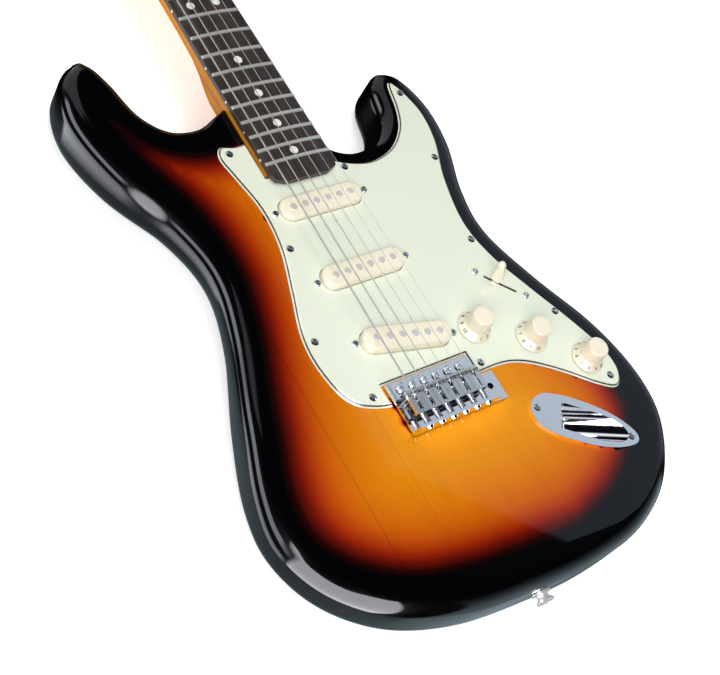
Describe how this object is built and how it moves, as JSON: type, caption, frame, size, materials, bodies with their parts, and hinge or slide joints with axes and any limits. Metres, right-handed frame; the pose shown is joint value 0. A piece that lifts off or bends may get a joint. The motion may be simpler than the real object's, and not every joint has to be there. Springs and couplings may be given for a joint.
{
  "type": "solid-body electric guitar",
  "caption": "Solid-body electric guitar with a bolt-on neck, three single-coil pickups under a large pickguard, a rocking vibrato bridge, three knobs, a blade switch and a sloped jack plate.",
  "frame": {"origin": "centre line of the strings, straight below the saddles, on the outer face of the back cover that the guitar lies on", "axes": "+Y along the strings towards the headstock, +X towards the treble strings, +Z out of the front"},
  "size_m": [0.3295, 0.9979, 0.0709],
  "materials": {
    "body_lacquer": "gloss",
    "neck_lacquer": "gloss",
    "dark_wood": "satin",
    "fret_wire": "polished",
    "pearl": "gloss",
    "bone": "satin",
    "chrome": "mirror polish",
    "steel": "plain",
    "mint_plastic": "gloss",
    "aged_white": "satin",
    "black_plastic": "matte",
    "copper_wire": "enamelled",
    "wire": "matte"
  },
  "bodies": {
    "instrument": {"body": "body_lacquer", "neck": "neck_lacquer", "fingerboard": "dark_wood", "frets": "fret_wire", "position_dots": "pearl", "nut": "bone", "truss_rod": "steel", "neck_plate": "chrome", "neck_screws": "chrome", "pickguard": "mint_plastic", "cover_screws": "chrome", "neck_pickup_cover": "aged_white", "middle_pickup_cover": "aged_white", "bridge_pickup_cover": "aged_white", "pole_magnets": "steel", "pickup_bobbins": "black_plastic", "pickup_coils": "copper_wire", "machine_screws": "chrome", "pot_housings": "steel", "pot_nuts": "chrome", "switch_frame": "steel", "jack_plate": "chrome", "jack_socket": "chrome", "wiring": "wire", "pivot_screws": "chrome", "tremolo_springs": "steel", "spring_claw": "steel", "claw_screws": "steel", "back_cover": "mint_plastic", "strap_buttons": "chrome", "strings": "steel", "string_tree": "chrome", "tuner_housings": "chrome", "tuner_bushings": "chrome"},
    "vibrato": {"bridge_plate": "chrome", "tremolo_block": "steel", "saddles": "chrome", "saddle_screws": "steel", "intonation_screws": "steel", "intonation_springs": "steel"},
    "volume_control": {"volume_knob": "aged_white", "volume_shaft": "steel"},
    "neck_tone_control": {"neck_tone_knob": "aged_white", "neck_tone_shaft": "steel"},
    "middle_tone_control": {"middle_tone_knob": "aged_white", "middle_tone_shaft": "steel"},
    "switch_blade": {"switch_lever": "steel", "switch_tip": "aged_white"},
    "button_1": {"tuner_button_1": "chrome"},
    "post_1": {"tuner_post_1": "chrome"},
    "button_2": {"tuner_button_2": "chrome"},
    "post_2": {"tuner_post_2": "chrome"},
    "button_3": {"tuner_button_3": "chrome"},
    "post_3": {"tuner_post_3": "chrome"},
    "button_4": {"tuner_button_4": "chrome"},
    "post_4": {"tuner_post_4": "chrome"},
    "button_5": {"tuner_button_5": "chrome"},
    "post_5": {"tuner_post_5": "chrome"},
    "button_6": {"tuner_button_6": "chrome"},
    "post_6": {"tuner_post_6": "chrome"}
  },
  "joints": [
    {"name": "vibrato_rock", "type": "hinge", "parent": "instrument", "child": "vibrato", "pos_m": [0, 0.0085, 0.0493], "axis": [-1, 0, 0], "range_deg": [-2, 8], "stiffness_Nm_per_rad": 12, "deforming": ["strings", "tremolo_springs"]},
    {"name": "volume_turn", "type": "hinge", "parent": "instrument", "child": "volume_control", "pos_m": [0.0565, 0.031, 0.06], "axis": [0, 0, 1], "range_deg": [-150, 150]},
    {"name": "neck_tone_turn", "type": "hinge", "parent": "instrument", "child": "neck_tone_control", "pos_m": [0.097, 0.0095, 0.06], "axis": [0, 0, 1], "range_deg": [-150, 150]},
    {"name": "middle_tone_turn", "type": "hinge", "parent": "instrument", "child": "middle_tone_control", "pos_m": [0.1315, -0.02, 0.06], "axis": [0, 0, 1], "range_deg": [-150, 150]},
    {"name": "switch_select", "type": "hinge", "parent": "instrument", "child": "switch_blade", "pos_m": [0.1003, 0.055, 0.0333], "axis": [0.7193, 0.6947, 0], "range_deg": [-14, 42]},
    {"name": "button_1_turn", "type": "hinge", "parent": "instrument", "child": "button_1", "pos_m": [-0.03829, 0.70211, 0.0261], "axis": [-0.9681, 0.2504, 0], "continuous": true},
    {"name": "post_1_turn", "type": "hinge", "parent": "instrument", "child": "post_1", "pos_m": [-0.0205, 0.691, 0.0311], "axis": [0, 0, 1], "continuous": true},
    {"name": "button_2_turn", "type": "hinge", "parent": "instrument", "child": "button_2", "pos_m": [-0.03193, 0.7267, 0.0261], "axis": [-0.9681, 0.2504, 0], "continuous": true},
    {"name": "post_2_turn", "type": "hinge", "parent": "instrument", "child": "post_2", "pos_m": [-0.01414, 0.71559, 0.0311], "axis": [0, 0, 1], "continuous": true},
    {"name": "button_3_turn", "type": "hinge", "parent": "instrument", "child": "button_3", "pos_m": [-0.02557, 0.75129, 0.0261], "axis": [-0.9681, 0.2504, 0], "continuous": true},
    {"name": "post_3_turn", "type": "hinge", "parent": "instrument", "child": "post_3", "pos_m": [-0.00778, 0.74018, 0.0311], "axis": [0, 0, 1], "continuous": true},
    {"name": "button_4_turn", "type": "hinge", "parent": "instrument", "child": "button_4", "pos_m": [-0.01921, 0.77588, 0.0261], "axis": [-0.9681, 0.2504, 0], "continuous": true},
    {"name": "post_4_turn", "type": "hinge", "parent": "instrument", "child": "post_4", "pos_m": [-0.00142, 0.76477, 0.0311], "axis": [0, 0, 1], "continuous": true},
    {"name": "button_5_turn", "type": "hinge", "parent": "instrument", "child": "button_5", "pos_m": [-0.01285, 0.80047, 0.0261], "axis": [-0.9681, 0.2504, 0], "continuous": true},
    {"name": "post_5_turn", "type": "hinge", "parent": "instrument", "child": "post_5", "pos_m": [0.00494, 0.78936, 0.0311], "axis": [0, 0, 1], "continuous": true},
    {"name": "button_6_turn", "type": "hinge", "parent": "instrument", "child": "button_6", "pos_m": [-0.00649, 0.82506, 0.0261], "axis": [-0.9681, 0.2504, 0], "continuous": true},
    {"name": "post_6_turn", "type": "hinge", "parent": "instrument", "child": "post_6", "pos_m": [0.0113, 0.81395, 0.0311], "axis": [0, 0, 1], "continuous": true}
  ],
  "couplings": [
    {"joint": "post_1_turn", "follows": "button_1_turn", "ratio": 0.066667},
    {"joint": "post_2_turn", "follows": "button_2_turn", "ratio": 0.066667},
    {"joint": "post_3_turn", "follows": "button_3_turn", "ratio": 0.066667},
    {"joint": "post_4_turn", "follows": "button_4_turn", "ratio": 0.066667},
    {"joint": "post_5_turn", "follows": "button_5_turn", "ratio": 0.066667},
    {"joint": "post_6_turn", "follows": "button_6_turn", "ratio": 0.066667}
  ]
}
